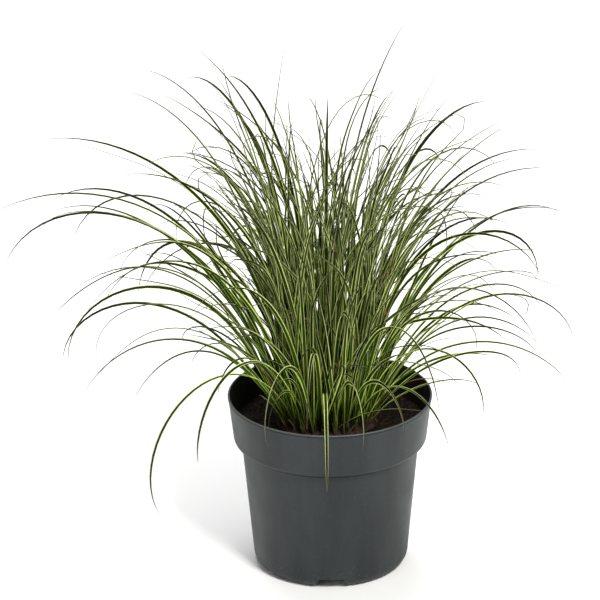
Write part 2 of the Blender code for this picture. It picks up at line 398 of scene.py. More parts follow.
def pot_finish(name, grain, colour, worn_colour, roughness, painted_inner_shade):
    """Satin plastic in the pot's grey. For the inside wall it is darkened towards the mix below the lip:
    painted shade of the foliage over it, partly real peat staining.
    """
    made, nodes, shader = new_material(name)
    place = nodes.place()
    effect = nodes.group(grain, Vector=place)
    tone = nodes.mix(effect["Wear"], (*colour, 1), (*worn_colour, 1))
    flow = nodes.noise(nodes.scaled(place, (40.0, 40.0, 5.0)), 1.0, 3.0)
    tone = nodes.mix(nodes.step(flow, 0.3, 0.7, 0.0, 0.35), tone, (*worn_colour, 1), "MULTIPLY")
    height = nodes.parts(place)[2]
    under_collar_shade = 0.0
    if painted_inner_shade:
        # Painted shade of the foliage over the inside wall, partly real peat staining: darker towards the
        # mix below the lip.
        stain_and_shade_edge = nodes.noise(place, 60.0, 5.0, 0.65)
        level = nodes.math("ADD", height, nodes.math("MULTIPLY", stain_and_shade_edge, 0.012))
        tone = nodes.mix(
            nodes.step(level, 0.146, 0.176, 0.9, 0.45), tone, (0.009, 0.0085, 0.0065, 1)
        )
    else:
        # Painted highlight: a lighter band along the top of the lip.
        lip_highlight = nodes.step(height, (POT_HEIGHT - 1.3) * MM, (POT_HEIGHT - 0.3) * MM, 0.0, 0.55)
        tone = nodes.mix(lip_highlight, tone, (0.13, 0.14, 0.14, 1))
        # Painted shade: a dark band on the wall just under the collar, where the collar's shadow falls; the
        # band is also made rougher.
        collar_under = (POT_HEIGHT - COLLAR_DEPTH - COLLAR_EDGE) * MM
        above = nodes.step(height, collar_under + 0.001, collar_under + 0.003, 1.0, 0.0)
        below = nodes.step(height, collar_under - 0.0028, collar_under - 0.001)
        under_collar_shade = nodes.math("MULTIPLY", above, below)
        tone = nodes.mix(under_collar_shade, tone, (0.002, 0.0025, 0.0025, 1))
        dust = nodes.noise(place, 380.0, 3.0, 0.7)
        low = nodes.step(height, 0.0, 0.03, 0.5, 0.08)
        dusty = nodes.math("MULTIPLY", nodes.step(dust, 0.55, 0.75), low)
        tone = nodes.mix(dusty, tone, (0.16, 0.15, 0.13, 1))
    nodes.put(shader.inputs["Base Color"], tone)
    nodes.put(
        shader.inputs["Roughness"],
        nodes.math("MULTIPLY_ADD", effect["Wear"], 0.12, nodes.math("MULTIPLY_ADD", under_collar_shade, 0.4, roughness)),
    )
    nodes.put(shader.inputs["Normal"], nodes.bump(effect["Height"], 0.25, 0.0002))
    shader.inputs["Specular IOR Level"].default_value = 0.25
    return made


def leaf_finish(stripes):
    """Leaf with cream margins. The stored vectors are place = (across, along, how far under) and
    kind = (odds, dryness, depth of green)."""
    made, nodes, shader = new_material("Variegated leaf")
    across, along, under = nodes.parts(nodes.stored("place"))[:3]
    odds, dryness, depth = nodes.parts(nodes.stored("kind"))[:3]
    marks = nodes.group(
        stripes, Across=across, Along=along, Odds=odds, Margin_width=nodes.step(along, 0.1, 0.9, 0.16, 0.12)
    )

    young = nodes.ramp(along, (
        (0.0, (0.02, 0.025, 0.003)), (0.07, (0.095, 0.20, 0.007)), (0.30, (0.075, 0.17, 0.006)),
        (0.54, (0.022, 0.045, 0.004)), (0.8, (0.010, 0.013, 0.005)), (1.0, (0.020, 0.017, 0.012)),
    ))
    deep = nodes.ramp(along, (
        (0.0, (0.008, 0.009, 0.002)), (0.09, (0.014, 0.036, 0.001)), (0.42, (0.006, 0.015, 0.0007)),
        (0.72, (0.003, 0.0045, 0.0015)), (0.92, (0.004, 0.004, 0.003)), (1.0, (0.012, 0.009, 0.006)),
    ))
    green = nodes.mix(depth, young, deep)
    faded = nodes.math("MULTIPLY", depth, -1.0, clamp=True)
    green = nodes.mix(faded, green, (0.095, 0.13, 0.040, 1))
    green = nodes.mix(nodes.math("MULTIPLY", marks["Vein"], 0.06), green, (0.08, 0.15, 0.01, 1))
    green = nodes.mix(nodes.step(marks["Streak"], 0.35, 0.7, 0.0, 0.3), green, (0.003, 0.008, 0.001, 1))
    cream = nodes.ramp(along, (
        (0.0, (0.12, 0.15, 0.03)), (0.12, (0.52, 0.68, 0.12)), (0.35, (0.66, 0.78, 0.22)),
        (0.7, (0.66, 0.72, 0.30)), (1.0, (0.30, 0.28, 0.18)),
    ))
    outer_fade = nodes.step(along, 0.5, 0.9, 1.0, nodes.step(odds, 0.3, 1.0, 0.15, 0.7))
    bright = nodes.math("MULTIPLY", nodes.step(odds, 0.1, 0.5, 0.55, 1.0), outer_fade)
    bright = nodes.math("MAXIMUM", bright, faded)
    surface = nodes.mix(nodes.math("MULTIPLY", marks["Margin"], bright), green, cream)
    # Painted shade: the underside of each leaf darkened towards near-black green.
    surface = nodes.mix(nodes.math("MULTIPLY", under, 0.3), surface, (0.014, 0.030, 0.002, 1))

    straw = nodes.mix(marks["Vein"], (0.30, 0.20, 0.095, 1), (0.13, 0.075, 0.035, 1))
    withered = nodes.step(nodes.math("ADD", along, dryness), 0.97, 1.04)
    surface = nodes.mix(withered, surface, straw)
    x, y, height = nodes.parts(nodes.place())[:3]
    x = nodes.math("SUBTRACT", x, CLUMP_CENTRE[0] * MM)
    y = nodes.math("SUBTRACT", y, CLUMP_CENTRE[1] * MM)
    reach = nodes.math("SQRT", nodes.math("ADD", nodes.math("MULTIPLY", x, x), nodes.math("MULTIPLY", y, y)))
    outline = nodes.math("MULTIPLY_ADD", height, 0.34, CROWN_RADIUS * MM - 0.34 * CROWN_TOP * MM)
    inner = nodes.step(nodes.math("DIVIDE", reach, outline), 0.5, 1.05, 1.0, 0.0)
    shaded = nodes.math("MULTIPLY", inner, nodes.step(height, 0.17, 0.32, 0.75, 0.0))
    surface = nodes.mix(shaded, surface, (0.004, 0.008, 0.001, 1))
    red = nodes.math(
        "MULTIPLY", nodes.step(height, 0.145, 0.156, 0.8, 0.0), nodes.step(along, 0.1, 0.2, 1.0, 0.0)
    )
    surface = nodes.mix(red, surface, (0.07, 0.028, 0.013, 1))
    nodes.put(shader.inputs["Base Color"], surface)
    nodes.put(
        shader.inputs["Roughness"], nodes.math("MULTIPLY_ADD", marks["Vein"], 0.1, 0.5)
    )
    nodes.put(shader.inputs["Normal"], nodes.bump(marks["Vein"], 0.35, 0.00012))
    shader.inputs["Specular IOR Level"].default_value = 0.03
    return made


def sheath_finish(stripes):
    """Papery leaf bases: dark at the mix, red-brown, then straw and pale green at the top."""
    made, nodes, shader = new_material("Red-brown sheath")
    across, along, dead = nodes.parts(nodes.stored("place"))[:3]
    marks = nodes.group(stripes, Across=across, Along=along, Odds=dead, Margin_width=0.05, Veins=6.0)
    living = nodes.ramp(along, (
        (0.0, (0.005, 0.003, 0.002)), (0.30, (0.06, 0.02, 0.011)), (0.55, (0.075, 0.045, 0.016)),
        (1.0, (0.09, 0.13, 0.02)),
    ))
    dry = nodes.ramp(along, (
        (0.0, (0.006, 0.004, 0.003)), (0.5, (0.06, 0.032, 0.016)), (1.0, (0.15, 0.09, 0.042)),
    ))
    surface = nodes.mix(nodes.step(dead, 0.55, 0.6), living, dry)
    surface = nodes.mix(nodes.math("MULTIPLY", marks["Vein"], 0.35), surface, (0.05, 0.022, 0.012, 1))
    nodes.put(shader.inputs["Base Color"], surface)
    shader.inputs["Roughness"].default_value = 0.72
    nodes.put(shader.inputs["Normal"], nodes.bump(marks["Vein"], 0.5, 0.0002))
    return made


def mix_finish(name, lift):
    """Damp peat and bark, darker than the mix's own colour as painted shade of the foliage over it. The
    stored kind is (odds, how fibrous, 0); lift brightens loose pieces.
    """
    made, nodes, shader = new_material(name)
    shader.inputs["Specular IOR Level"].default_value = 0.15
    place = nodes.place()
    odds, fibrous = nodes.parts(nodes.stored("kind"))[:2]
    near, own_colour = nodes.cells(place, 420.0)
    crumbs = nodes.noise(place, 900.0, 4.0, 0.65)
    # Peat and bark colours: real dark damp mix, darkened further as painted shade.
    peat = nodes.mix(nodes.step(crumbs, 0.3, 0.75), (0.002, 0.0015, 0.001, 1), (0.010, 0.0065, 0.0045, 1))
    bark = nodes.mix(nodes.parts(own_colour)[0], (0.012, 0.0065, 0.004, 1), (0.036, 0.016, 0.009, 1))
    share = nodes.math("MAXIMUM", fibrous, nodes.step(nodes.parts(own_colour)[1], 0.72, 0.8))
    surface = nodes.mix(share, peat, bark)
    surface = nodes.mix(nodes.step(odds, 0.0, 1.0, 0.0, lift), surface, (0.075, 0.042, 0.024, 1))
    nodes.put(shader.inputs["Base Color"], surface)
    nodes.put(shader.inputs["Roughness"], nodes.step(crumbs, 0.2, 0.8, 0.98, 0.7))
    height = nodes.math("ADD", crumbs, nodes.math("MULTIPLY", near, -0.8))
    nodes.put(shader.inputs["Normal"], nodes.bump(height, 0.9, 0.0012))
    return made


def floor_finish():
    made, nodes, shader = new_material("Studio floor")
    shader.inputs["Base Color"].default_value = (0.96, 0.96, 0.96, 1)
    shader.inputs["Roughness"].default_value = 0.9
    shader.inputs["Specular IOR Level"].default_value = 0.1
    return made


# ---------------------------------------------------------------------------------------------------
# Pot
# ---------------------------------------------------------------------------------------------------


def arc(radius, height, size, start, end, steps):
    """Points of a circular arc in the profile, from start to end degrees above outwards."""
    angle = np.radians(np.linspace(start, end, steps + 1))
    return list(zip(radius + size * np.cos(angle), height + size * np.sin(angle)))


def line(first, last, steps):
    """Points between two profile points, without the ends."""
    share = np.linspace(0, 1, steps + 1)[1:-1, None]
    return [tuple(point) for point in np.array(first) * (1 - share) + np.array(last) * share]


def pot_profile():
    """The pot's section from the middle of its underside out, up the wall and over the lip, and down
    the inside to the middle of its floor: straight runs joined by small arcs."""
    collar_foot = POT_HEIGHT - COLLAR_DEPTH
    lip_foot = POT_HEIGHT - LIP_DEPTH
    collar_under = collar_foot - COLLAR_EDGE
    inner_top = COLLAR_TOP_RADIUS - WALL + 0.25
    lip_round = LIP_DEPTH / 2
    foot_corner = arc(WALL_FOOT_RADIUS - CORNER_RADIUS, CORNER_RADIUS, CORNER_RADIUS, -90, 0, 10)
    ledge_fillet = arc(LEDGE_RADIUS + 0.9, collar_under - 0.9, 0.9, 180, 90, 4)
    collar_edge = arc(
        COLLAR_FOOT_RADIUS - COLLAR_ROUND, collar_under + COLLAR_ROUND, COLLAR_ROUND, -90, 0, 12
    )
    lip_fillet = arc(COLLAR_TOP_RADIUS + 0.5, lip_foot - 0.5, 0.5, 180, 90, 3)
    lip_outside = arc(LIP_RADIUS - lip_round, POT_HEIGHT - lip_round, lip_round, -90, 90, 10)
    mouth_edge = arc(inner_top + 0.7, POT_HEIGHT - 0.7, 0.7, 90, 180, 5)
    inner_ledge = [
        (COLLAR_FOOT_RADIUS - WALL, collar_foot + WALL + 0.9),
        (COLLAR_FOOT_RADIUS - WALL - 0.9, collar_foot + WALL),
        (LEDGE_RADIUS - WALL + 0.9, collar_foot + WALL),
        (LEDGE_RADIUS - WALL, collar_foot + WALL - 0.9),
    ]
    inner_corner = arc(WALL_FOOT_RADIUS - WALL - 5.0, FLOOR_TOP + 5.0, 5.0, 0, -90, 5)
    return [
        *((radius, 0.0) for radius in (4.0, 20.0, 34.0, 50.0)),
        *foot_corner,
        *line(foot_corner[-1], ledge_fillet[0], 14),
        *ledge_fillet,
        *collar_edge,
        *line(collar_edge[-1], lip_fillet[0], 8),
        *lip_fillet,
        *lip_outside,
        *mouth_edge,
        *line(mouth_edge[-1], inner_ledge[0], 6),
        *inner_ledge,
        *line(inner_ledge[-1], inner_corner[0], 6),
        *inner_corner,
        (30.0, FLOOR_TOP),
        (4.0, FLOOR_TOP),
    ]


def channel_points():
    """Wedges with sloping sides that run out under the wall: (points, faces) of all the channels."""
    slope = (CHANNEL_FOOT_WIDTH - CHANNEL_TOP_WIDTH) / (2 * CHANNEL_HEIGHT)
    below = 5.0
    half_top = CHANNEL_TOP_WIDTH / 2
    half_foot = CHANNEL_FOOT_WIDTH / 2 + slope * below
    side = np.array([-half_foot, half_foot, half_top, -half_top])
    height = np.array([-below, -below, CHANNEL_HEIGHT, CHANNEL_HEIGHT])
    reach = np.array([CHANNEL_START, LIP_RADIUS])
    bearing = np.radians(FIRST_CHANNEL + 360.0 * np.arange(CHANNELS) / CHANNELS)[:, None, None]
    x = reach[:, None] * np.cos(bearing) - side * np.sin(bearing)
    y = reach[:, None] * np.sin(bearing) + side * np.cos(bearing)
    z = np.broadcast_to(height, x.shape)
    return np.stack([x, y, z], -1).reshape(-1, 3), tube_faces(CHANNELS, 2, 4)


def drain_points():
    """Upright cylinders through the roofs of the channels: (points, faces) of all the holes."""
    corners = 40
    turn = 2 * np.pi * np.arange(corners) / corners
    bearing = np.radians(FIRST_CHANNEL + 360.0 * np.arange(CHANNELS) / CHANNELS)[:, None, None]
    x = DRAIN_CENTRE * np.cos(bearing) + DRAIN_RADIUS * np.cos(turn)
    y = DRAIN_CENTRE * np.sin(bearing) + DRAIN_RADIUS * np.sin(turn)
    z = np.array([-5.0, FLOOR_TOP + 5.0])[:, None]
    x, y, z = np.broadcast_arrays(x, y, z)
    return np.stack([x, y, z], -1).reshape(-1, 3), tube_faces(CHANNELS, 2, corners)


def subtract(obj, cutters):
    """Cuts the cutters from obj and removes them."""
    for cutter in cutters:
        made = obj.modifiers.new("Cut", "BOOLEAN")
        made.operation = "DIFFERENCE"
        made.solver = "EXACT"
        made.object = cutter
    graph = bpy.context.evaluated_depsgraph_get()
    cut_mesh = bpy.data.meshes.new_from_object(obj.evaluated_get(graph), depsgraph=graph)
    obj.modifiers.clear()
    obj.data = cut_mesh
    for cutter in cutters:
        bpy.data.objects.remove(cutter, do_unlink=True)


def build_pot(outside, inside):
    """The pot as one turned surface, less the drainage channels and holes. Faces whose middle lies
    inside the wall line get the finish with painted inner shade."""
    profile = pot_profile()
    pot = add_mesh(
        "moulded_pot", turn_profile(profile, TURN_STEPS), turned_faces(len(profile), TURN_STEPS), outside
    )
    subtract(pot, [
        add_mesh("channel_cutter", *channel_points(), outside),
        add_mesh("drain_cutter", *drain_points(), outside),
    ])
    pot.data.materials.clear()
    pot.data.materials.append(outside)
    pot.data.materials.append(inside)
    count = len(pot.data.polygons)
    centre = np.empty(count * 3, np.float32)
    normal = np.empty(count * 3, np.float32)
    pot.data.polygons.foreach_get("center", centre)
    pot.data.polygons.foreach_get("normal", normal)
    centre = centre.reshape(-1, 3)
    normal = normal.reshape(-1, 3)
    faces_in = (centre[:, :2] * normal[:, :2]).sum(1) < -1e-4
    high = centre[:, 2] > FLOOR_TOP * MM * 0.99
    below_lip = centre[:, 2] < (POT_HEIGHT - 0.4) * MM
    pot.data.polygons.foreach_set("material_index", (faces_in & high & below_lip).astype(np.int32))
    pot.data.shade_smooth()
    pot.data.set_sharp_from_angle(angle=math.radians(38.0))
    finish_piece(pot, "nursery_pot")


# ---------------------------------------------------------------------------------------------------
# Potting mix
# ---------------------------------------------------------------------------------------------------

CRUMBS = 1500
CRUMB_SIZES = (0.7, 2.6)
BARK_CHIPS = 130
FIBRES = 90


def mix_height(x, y):
    """Level of the mix: flat in the middle, lower towards the wall, with lumps of two sizes."""
    rng = np.random.default_rng(RANDOM_SEED)
    radius = np.hypot(x, y)
    fall = MIX_EDGE_DROP * np.clip((radius - 55.0) / 33.0, 0.0, 1.0) ** 2
    return MIX_LEVEL - 0.4 - fall + 0.9 * waves(x, y, 34.0, rng) + 0.55 * waves(x, y, 7.0, rng)


def build_mix(finish):
    """The mix as rings of points: its lumpy top, its side along the wall and its flat underside."""
    steps = 168
    bearing = 2 * np.pi * np.arange(steps) / steps
    edge = 89.4
    radius = edge * (np.linspace(0.02, 1.0, 66) ** 0.85)[:, None]
    x = radius * np.cos(bearing)
    y = radius * np.sin(bearing)
    top = np.stack([x, y, mix_height(x, y)], -1)
    gap = 0.4
    side = turn_profile(
        [
            (COLLAR_FOOT_RADIUS - WALL - gap, POT_HEIGHT - COLLAR_DEPTH + WALL + gap),
            (LEDGE_RADIUS - WALL - gap, POT_HEIGHT - COLLAR_DEPTH + WALL + gap),
            (WALL_FOOT_RADIUS - WALL - gap, FLOOR_TOP + 6.0),
            (WALL_FOOT_RADIUS - WALL - 6.0, FLOOR_TOP + gap),
            (4.0, FLOOR_TOP + gap),
        ],
        steps,
    ).reshape(-1, steps, 3)
    rows = np.concatenate([side[::-1], top[::-1]])
    mix = add_mesh(
        "mix_bed", rows.reshape(-1, 3), turned_faces(len(rows), steps), finish, 60.0
    )
    store(mix, "kind", np.zeros((rows.size // 3, 3)))
    face_outwards(mix)
    finish_piece(mix, "potting_mix")


def icosahedron():
    """(12 unit points, 20 faces)"""
    golden = (1 + 5 ** 0.5) / 2
    flat = np.array([(0, a, b * golden) for a in (-1, 1) for b in (-1, 1)], float)
    points = np.concatenate([np.roll(flat, shift, axis=1) for shift in range(3)])
    points /= np.linalg.norm(points[0])
    gaps = np.linalg.norm(points[:, None] - points[None], axis=-1)
    near = (gaps > 0.1) & (gaps < 1.1)
    faces = []
    for a in range(12):
        for b in range(a + 1, 12):
            for c in range(b + 1, 12):
                if near[a, b] and near[b, c] and near[a, c]:
                    outwards = np.dot(np.cross(points[b] - points[a], points[c] - points[a]), points[a])
                    faces.append((a, b, c) if outwards > 0 else (a, c, b))
    return points, np.array(faces)


def random_turns(count, rng):
    """Rotation matrices from random unit quaternions."""
    w, x, y, z = (lambda q: (q / np.linalg.norm(q, axis=0)))(rng.normal(size=(4, count)))
    return np.stack([
        np.stack([1 - 2 * (y * y + z * z), 2 * (x * y - w * z), 2 * (x * z + w * y)], -1),
        np.stack([2 * (x * y + w * z), 1 - 2 * (x * x + z * z), 2 * (y * z - w * x)], -1),
        np.stack([2 * (x * z - w * y), 2 * (y * z + w * x), 1 - 2 * (x * x + y * y)], -1),
    ], 1)


def build_crumbs(finish):
    """Loose crumbs, flat bark chips and thin fibres on the mix: icosahedra with each corner pulled in
    or out, stretched, turned at random and sunk by a third."""
    rng = np.random.default_rng(RANDOM_SEED + 1)
    unit, faces = icosahedron()
    count = CRUMBS + BARK_CHIPS + FIBRES
    size = CRUMB_SIZES[0] + (CRUMB_SIZES[1] - CRUMB_SIZES[0]) * rng.uniform(size=count) ** 2.2
    stretch = rng.uniform(0.6, 1.25, (count, 3))
    chips = slice(CRUMBS, CRUMBS + BARK_CHIPS)
    fibres = slice(CRUMBS + BARK_CHIPS, count)
    size[chips] = rng.uniform(2.2, 4.4, BARK_CHIPS)
    stretch[chips] = rng.uniform((0.9, 0.45, 0.2), (1.4, 0.8, 0.35), (BARK_CHIPS, 3))
    size[fibres] = rng.uniform(3.0, 6.5, FIBRES)
    stretch[fibres] = rng.uniform((1.0, 0.05, 0.05), (1.3, 0.09, 0.09), (FIBRES, 3))
    pulled = unit * rng.uniform(0.72, 1.2, (count, 12, 1))
    turns = random_turns(count, rng)
    flat = turns[CRUMBS:]
    tilt = rng.normal(0, 0.22, len(flat))
    spin = rng.uniform(0, 2 * np.pi, len(flat))
    zero, one = np.zeros(len(flat)), np.ones(len(flat))
    lie = np.stack([
        np.stack([np.cos(spin), -np.sin(spin), zero], -1),
        np.stack([np.sin(spin), np.cos(spin), zero], -1),
        np.stack([zero, zero, one], -1),
    ], 1)
    rock = np.stack([
        np.stack([np.cos(tilt), zero, np.sin(tilt)], -1),
        np.stack([zero, one, zero], -1),
        np.stack([-np.sin(tilt), zero, np.cos(tilt)], -1),
    ], 1)
    turns[CRUMBS:] = lie @ rock
    shape = np.einsum("nij,nkj->nki", turns, pulled * (stretch * size[:, None] / 2)[:, None])
    bearing = rng.uniform(0, 2 * np.pi, count)
    reach = np.sqrt(rng.uniform(0.16, 1.0, count)) * (87.0 - size / 2)
    x = reach * np.cos(bearing)
    y = reach * np.sin(bearing)
    sunk = (shape[:, :, 2].max(1) - shape[:, :, 2].min(1)) * 0.2
    centre = np.stack([x, y, mix_height(x, y) + sunk], -1)
    points = (shape + centre[:, None]).reshape(-1, 3)
    all_faces = (faces[None] + 12 * np.arange(count)[:, None, None]).reshape(-1, 3)
    crumbs = add_mesh("mix_crumbs", points, all_faces.tolist(), finish, 35.0)
    odds = rng.uniform(size=count) ** 3
    fibrous = (np.arange(count) >= CRUMBS) * rng.uniform(0.6, 1.0, count)
    kind = np.stack([odds, fibrous, np.zeros(count)], -1)
    store(crumbs, "kind", np.repeat(kind, 12, axis=0))
    finish_piece(crumbs)


# ---------------------------------------------------------------------------------------------------
# Leaves
# ---------------------------------------------------------------------------------------------------


def tuft_feet():
    """The foot of each tuft on the crown, ring by ring from the middle."""
    feet = []
    for count, radius, first in RINGS:
        bearing = np.radians(first + 360.0 * np.arange(count) / count)
        feet.append(np.stack([
            CLUMP_CENTRE[0] + radius * np.cos(bearing), CLUMP_CENTRE[1] + radius * np.sin(bearing)
        ], -1))
    return np.concatenate(feet)


def shoot_habits():
    """Heading, lean, bend, length and droop of each tuft's longest leaf, ring by ring from the middle, as
    in the part. Heading is 0 for +X and 90 for +Y. The leaves fan out from the middle, the outer rings
    lower. In the outer rings they reach further to the left, and at the front they are shorter and hang
    more. A share s of the way up, a leaf has turned from upright by lean + bend * s ** droop degrees."""
    growth = random.Random(GROWTH_SEED)
    habits = []
    for ring, ((count, _, first), swing) in enumerate(zip(RINGS, HEADING_SWINGS)):
        outer = ring / (len(RINGS) - 1)
        for index in range(count):
            heading = first + 360.0 * index / count + growth.uniform(-swing, swing)
            lean, bend, length, droop = (
                middle + growth.uniform(-vary, vary) for middle, vary in RING_HABITS[ring]
            )
            left = -math.cos(math.radians(heading))
            ahead = max(0.0, -math.sin(math.radians(heading))) ** 2
            length *= 1.0 + outer * (LEFT_REACH * left - FRONT_SHORTER * ahead)
            bend += outer * FRONT_HANG * ahead
            habits.append((heading, lean, bend, length, droop))
    habits[0] = (habits[0][0], TALLEST_LEAN, TALLEST_BEND, TALLEST_LENGTH, habits[0][4])
    return habits


LONGEST_LEAVES = shoot_habits()
FIRST_OUTER_TUFT = sum(count for count, _, _ in RINGS[:-1])


def hangs_in_front(index):
    """Whether the longest leaf of a tuft hangs over the lip at the front."""
    heading, _, bend, _, _ = LONGEST_LEAVES[index]
    in_front = math.sin(math.radians(heading)) < FRONT_SINE
    return index >= FIRST_OUTER_TUFT and in_front and bend > HANGING_BEND


HABIT_COLUMNS = (
    "heading", "lean", "bend", "length", "droop", "sway", "curl", "hook", "width", "fullness",
    "twist", "turn", "foot_x", "foot_y", "odds", "dryness", "depth",
)


def grow_tuft(index, foot):
    """The habits of one tuft's leaves, one row each with HABIT_COLUMNS. The first row is the longest
    leaf, as in the part. The next are drawn round it, shorter and headed a little aside, and the last ones
    are strays that cross the others."""
    rng = np.random.default_rng(RANDOM_SEED + 100 + index)
    heading, lean, bend, length, droop = LONGEST_LEAVES[index]
    count = rng.integers(FEWEST_LEAVES, MOST_LEAVES + 1)
    h = {name: np.zeros(count) for name in HABIT_COLUMNS}
    h["heading"] = heading + rng.normal(0, 30, count)
    lean_near = min(lean, 22)
    bend_near = min(bend, 80 + 50 * abs(math.cos(math.radians(heading))))
    length_near = max(length, 300)
    h["lean"] = np.clip(lean_near * rng.uniform(0.3, 1.1, count) + rng.normal(0, 5, count), -8, 30)
    h["bend"] = bend_near * rng.uniform(0.15, 1.15, count) + rng.normal(0, 14, count)
    h["length"] = length_near * rng.uniform(0.38, 0.82, count)
    h["droop"] = np.clip(droop * rng.uniform(0.8, 1.5, count), 1.6, 4.0)
    h["sway"] = rng.normal(0, 26, count)
    h["curl"] = rng.normal(0, 34, count)
    h["hook"] = np.where(rng.uniform(size=count) < 0.3, rng.normal(0, 110, count), 0.0)
    h["width"] = rng.uniform(2.6, 4.7, count)
    h["fullness"] = rng.uniform(1.6, 3.0, count)
    h["twist"] = rng.normal(0, 34, count)
    h["turn"] = rng.normal(0, 40, count)
    angle = rng.uniform(0, 2 * np.pi, count)
    reach = TUFT_SPREAD * np.sqrt(rng.uniform(0.1, 1, count))
    h["foot_x"] = foot[0] + reach * np.cos(angle)
    h["foot_y"] = foot[1] + reach * np.sin(angle)
    h["odds"] = rng.uniform(size=count)
    h["dryness"] = np.where(rng.uniform(size=count) < 0.04, 1.0, rng.uniform(-0.05, 0.06, count))
    h["depth"] = rng.uniform(-0.25, 1.0, count)
    facing_front = math.sin(math.radians(heading)) < -0.55
    kin = (rng.uniform(size=count) < 0.5) & (not facing_front)
    near = (0.55, 0.82) if index < INNER_TUFTS else (0.62, 1.0)
    h["heading"][kin] = heading + rng.normal(0, 15, kin.sum())
    h["lean"][kin] = lean + rng.normal(0, 4, kin.sum())
    h["bend"][kin] = bend * rng.uniform(0.75, 1.12, kin.sum())
    h["length"][kin] = length * rng.uniform(*near, kin.sum())
    h["droop"][kin] = np.clip(droop * rng.uniform(0.75, 1.25, kin.sum()), 1.2, 4.5)
    stray = np.arange(count) >= count - STRAYS_PER_TUFT
    h["heading"][stray] = heading + rng.uniform(-115, 115, stray.sum())
    h["lean"][stray] = rng.uniform(-4, 12, stray.sum())
    h["bend"][stray] = rng.uniform(45, 105, stray.sum())
    h["droop"][stray] = rng.uniform(2.4, 4.0, stray.sum())
    h["length"][stray] = rng.uniform(220, 350, stray.sum())
    h["width"][stray] = rng.uniform(2.8, 3.9, stray.sum())
    h["fullness"][stray] = rng.uniform(1.8, 3.2, stray.sum())
    h["depth"][stray] = rng.uniform(-1.0, 0.2, stray.sum())
    h["odds"][stray] = rng.uniform(0.5, 1.0, stray.sum())
    dry = h["dryness"] > 0.5
    h["length"][dry] *= 0.55
    h["width"][dry] *= 0.6
    broad = hangs_in_front(index)
    width, fullness = (3.7, 6.0) if broad else (4.2, 3.0)
    if index < INNER_TUFTS:
        width, fullness = 4.6, 3.8
    longest = dict(zip(HABIT_COLUMNS, (heading, lean, bend, length, droop, 0, 0, 0, width, fullness)))
    for name, value in longest.items():
        h[name][0] = value
    h["foot_x"][0], h["foot_y"][0] = foot
    h["dryness"][0] = 0.0
    h["depth"][0] = 0.5
    if broad:
        h["depth"][0] = 0.3
        h["odds"][0] = 0.95
    return np.stack([h[name] for name in HABIT_COLUMNS], -1)


def loose_habits():
    """The habits of the loose leaves, one row each with HABIT_COLUMNS."""
    rng = np.random.default_rng(RANDOM_SEED + 3)
    given = np.array(LOOSE_LEAVES, float).T
    count = len(LOOSE_LEAVES)
    h = {name: np.zeros(count) for name in HABIT_COLUMNS}
    names = ("foot_x", "foot_y", "heading", "lean", "bend", "length", "droop", "width", "depth")
    h.update(zip(names, given))
    h["fullness"][:] = LOOSE_FULLNESS
    h["sway"] = rng.normal(0, 8, count)
    h["curl"] = rng.normal(0, 20, count)
    h["twist"] = rng.normal(0, 25, count)
    h["turn"] = rng.normal(0, 50, count)
    h["odds"] = rng.uniform(0.6, 1.0, count)
    return np.stack([h[name] for name in HABIT_COLUMNS], -1)


def leaf_lines(habits):
    """(points, tangents, sides) of every leaf's middle line, each (leaves, stations, 3), in millimetres.
    The line turns from upright by lean + bend * s ** droop, its heading sways by sway * s ** 1.5, its last
    quarter curls and its last eighth may hook. Sides are level, square to the line and then turned about
    it by the twist."""
    h = {name: column[:, None] for name, column in zip(HABIT_COLUMNS, habits.T)}
    s = np.linspace(0, 1, LEAF_STATIONS)[None]
    curled = np.clip((s - 0.75) / 0.25, 0, 1) ** 1.5
    hooked = np.clip((s - 0.88) / 0.12, 0, 1) ** 1.5
    turn = np.radians(
        h["lean"] + h["bend"] * s ** h["droop"] + h["curl"] * curled + h["hook"] * hooked
    )
    heading = np.radians(h["heading"] + h["sway"] * s ** 1.5)
    tangent = np.stack([
        np.sin(turn) * np.cos(heading), np.sin(turn) * np.sin(heading), np.cos(turn)
    ], -1)
    step = (h["length"] / (LEAF_STATIONS - 1))[..., None]
    points = np.concatenate(
        [np.zeros_like(tangent[:, :1]), np.cumsum((tangent[:, 1:] + tangent[:, :-1]) / 2 * step, axis=1)],
        axis=1,
    )
    foot_z = np.full_like(h["foot_x"], CROWN_TOP + 0.3)
    foot = np.concatenate([h["foot_x"], h["foot_y"], foot_z], -1)
    points += foot[:, None]
    points[:, 0] -= LEAF_SUNK * tangent[:, 0]
    level = np.stack([-np.sin(heading), np.cos(heading), np.zeros_like(turn)], -1)
    level = np.broadcast_to(level, tangent.shape)
    over = np.cross(tangent, level)
    twist = np.radians(h["twist"] + h["turn"] * s)[..., None]
    side = level * np.cos(twist) + over * np.sin(twist)
    return points, tangent, side


def strikes(points):
    """Which leaves pass through the pot's collar or lip, or dip into the mix."""
    radius = np.hypot(points[:, 1:, 0], points[:, 1:, 1])
    height = points[:, 1:, 2]
    in_wall = (radius > 85.0) & (radius < 98.0) & (height < POT_HEIGHT + 2.2)
    in_mix = (radius <= 89.0) & (height < MIX_LEVEL + 2.0)
    return (in_wall | in_mix).any(axis=1)


def settle(habits):
    """Makes each leaf that strikes the pot or the mix lean and bend less until it clears them. The
    first leaf is left as it is."""
    settled = habits.copy()
    lean, bend = HABIT_COLUMNS.index("lean"), HABIT_COLUMNS.index("bend")
    for _ in range(14):
        hit = strikes(leaf_lines(settled)[0])
        hit[0] = False
        settled[hit, lean] -= 3.0
        settled[hit, bend] *= 0.9
    return settled


